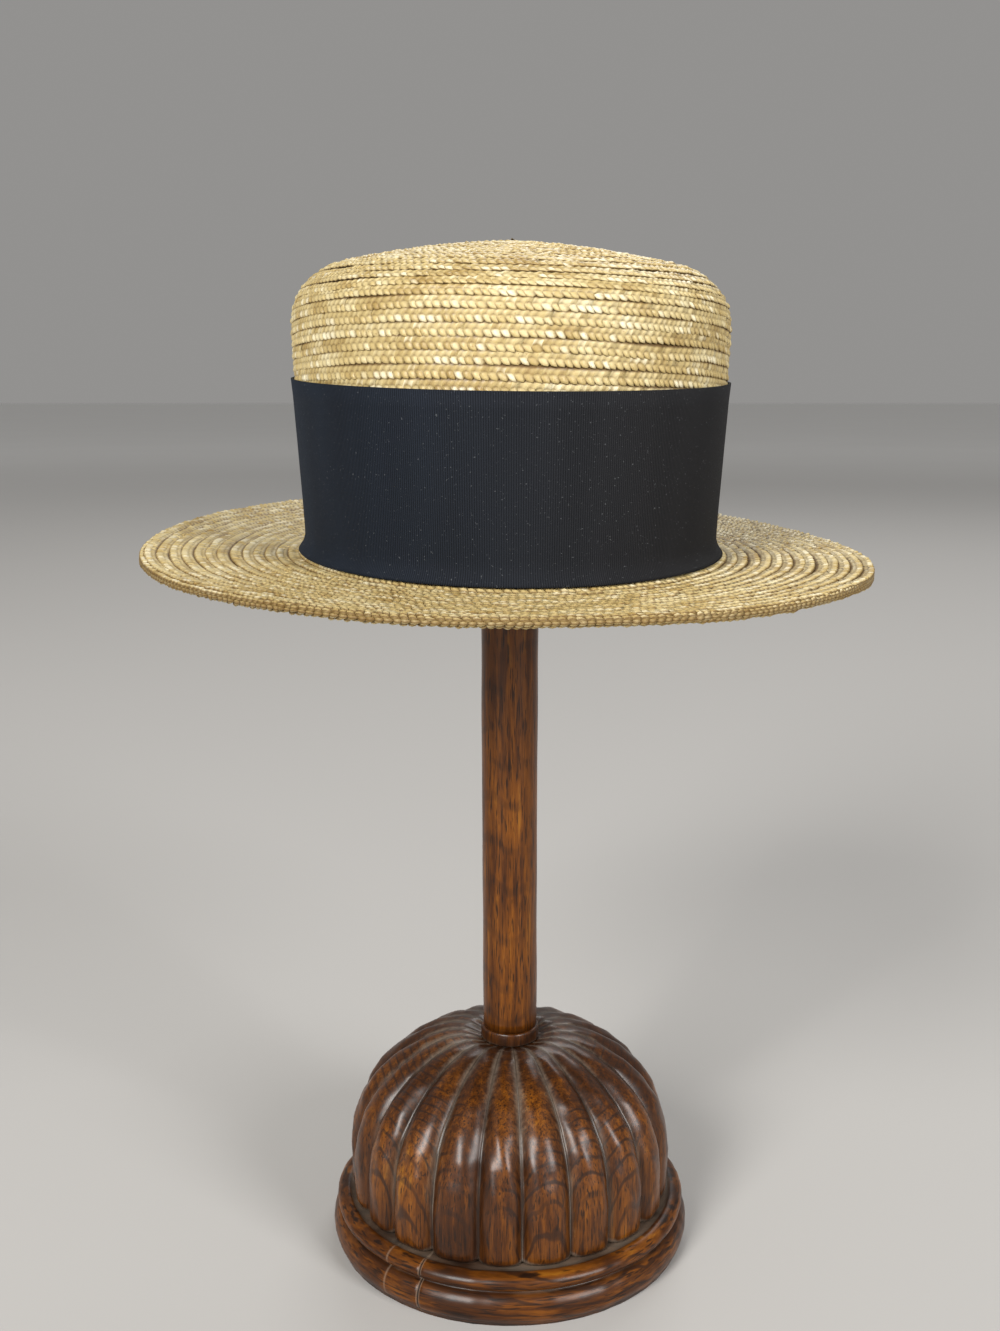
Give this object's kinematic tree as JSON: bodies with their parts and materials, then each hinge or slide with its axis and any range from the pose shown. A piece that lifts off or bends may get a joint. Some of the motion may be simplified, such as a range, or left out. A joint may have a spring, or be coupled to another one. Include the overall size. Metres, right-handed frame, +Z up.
{
  "type": "straw boater hat on carved wooden hat stand",
  "caption": "Woman's straw boater with a deep domed crown, flat sewn-plait brim and wide black grosgrain band, resting on a turned wooden stand with a gadrooned base.",
  "frame": {"origin": "centre of the flat underside of the stand's foot ring", "axes": "+Z up along the post, -Y towards the front of the hat, +X to the right seen from the front"},
  "size_m": [0.2788, 0.3128, 0.4074],
  "materials": {
    "straw": "glossy golden wheat straw plait",
    "ribbon": "black ribbed grosgrain ribbon",
    "wood": "waxed dark brown hardwood, dusty in the grooves"
  },
  "bodies": {
    "root": {"crown": "straw", "brim": "straw", "brim_edge_braid": "straw", "ribbon_band": "ribbon", "stand_foot_ring": "wood", "stand_dome": "wood", "stand_collar": "wood", "stand_post": "wood", "stand_head": "wood"}
  },
  "joints": []
}
